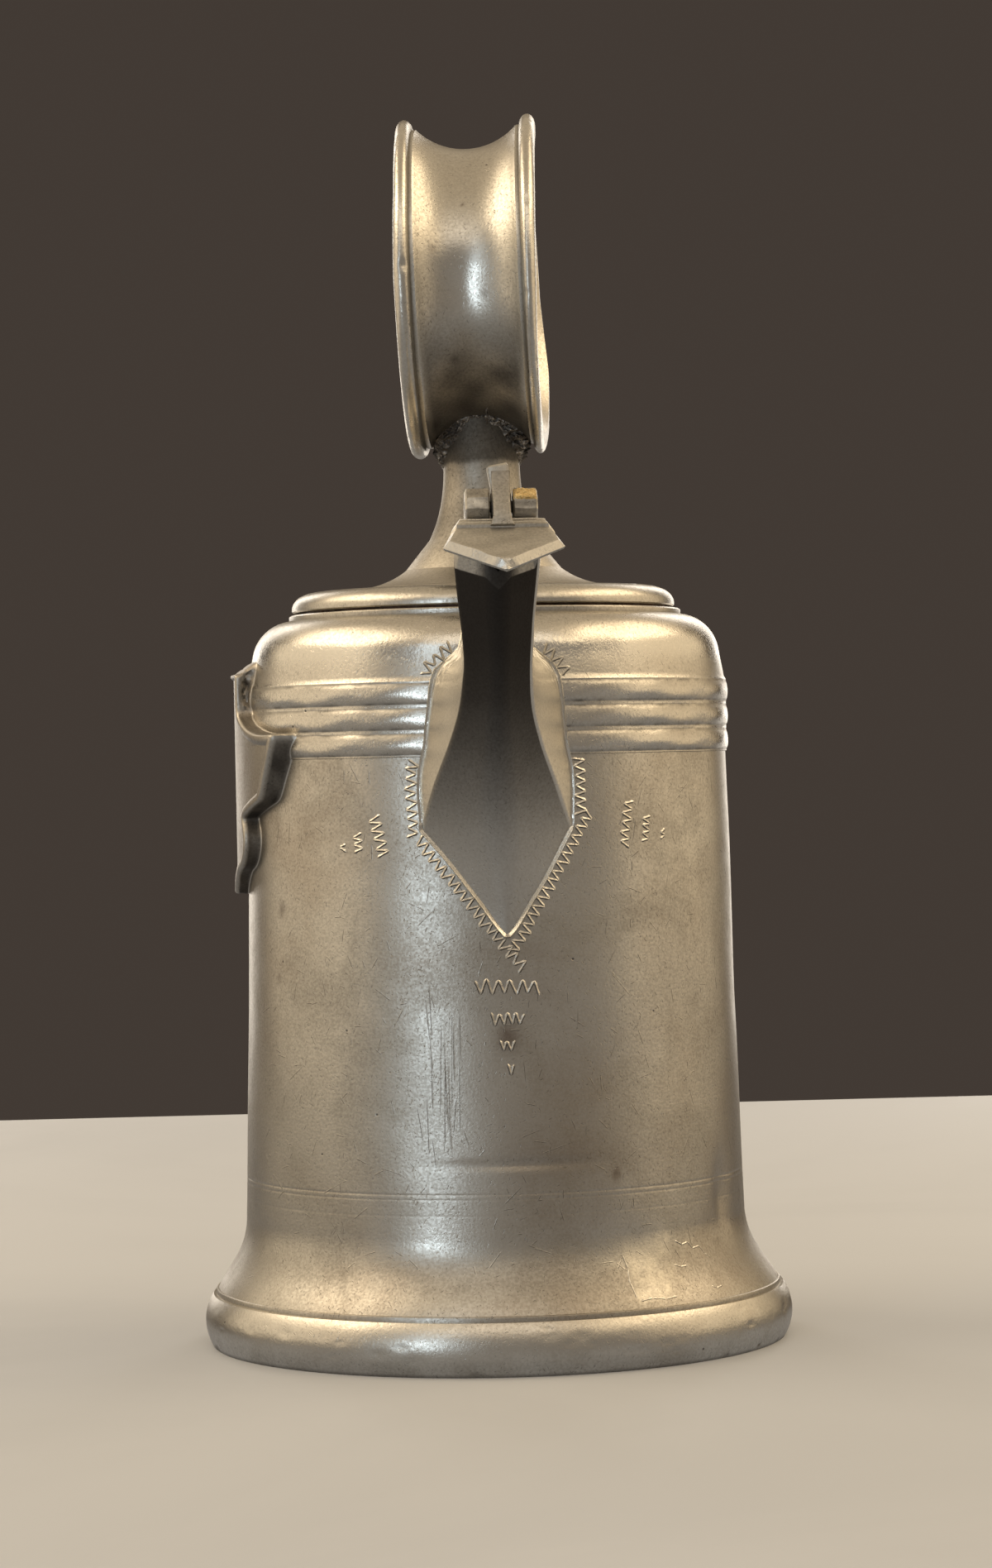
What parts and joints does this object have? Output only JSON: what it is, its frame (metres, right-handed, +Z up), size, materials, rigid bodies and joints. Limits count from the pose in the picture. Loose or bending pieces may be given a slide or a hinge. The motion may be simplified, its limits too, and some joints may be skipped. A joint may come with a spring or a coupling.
{
  "type": "pewter flagon",
  "caption": "Bell-shaped pewter flagon with a faceted spout and hinged spout lid, a bayonet lid carried by a wide ring handle, and a shield-shaped side plaque.",
  "frame": {"origin": "centre of the foot, on the floor", "axes": "+Z up along the bell's axis, -Y towards the spout, -X towards the shield"},
  "size_m": [0.1734, 0.2132, 0.3605],
  "materials": {
    "pewter": "old turned pewter with a grey patina, worn bright on edges",
    "solder": "rough dark solder",
    "iron": "dull iron pin",
    "leather": "dark greased leather"
  },
  "bodies": {
    "flagon": {"foot_ring": "pewter", "base_plate": "pewter", "bell_body": "pewter", "shoulder": "pewter", "neck_ring": "pewter", "spout": "pewter", "hinge_lug_left": "pewter", "hinge_lug_right": "pewter", "hinge_pin": "iron", "shield": "pewter"},
    "seal": {"seal_washer": "leather"},
    "lid": {"lid_plate": "pewter", "lid_plug": "pewter", "bayonet_lugs": "pewter", "lid_trumpet": "pewter", "neck_tenon": "pewter", "ring_handle": "pewter", "ring_solder": "solder"},
    "spout_cover": {"spout_lid": "pewter", "thumb_lever": "pewter"}
  },
  "joints": [
    {"name": "lid_lift", "type": "slide", "parent": "flagon", "child": "seal", "axis": [0, 0, 1], "range_m": [0, 0.12]},
    {"name": "lid_turn", "type": "hinge", "parent": "seal", "child": "lid", "pos_m": [0, 0, 0.2137], "axis": [0, 0, -1], "range_deg": [0, 40]},
    {"name": "spout_lid_hinge", "type": "hinge", "parent": "flagon", "child": "spout_cover", "pos_m": [0, -0.10161, 0.23883], "axis": [-1, 0, 0], "range_deg": [0, 110]}
  ]
}
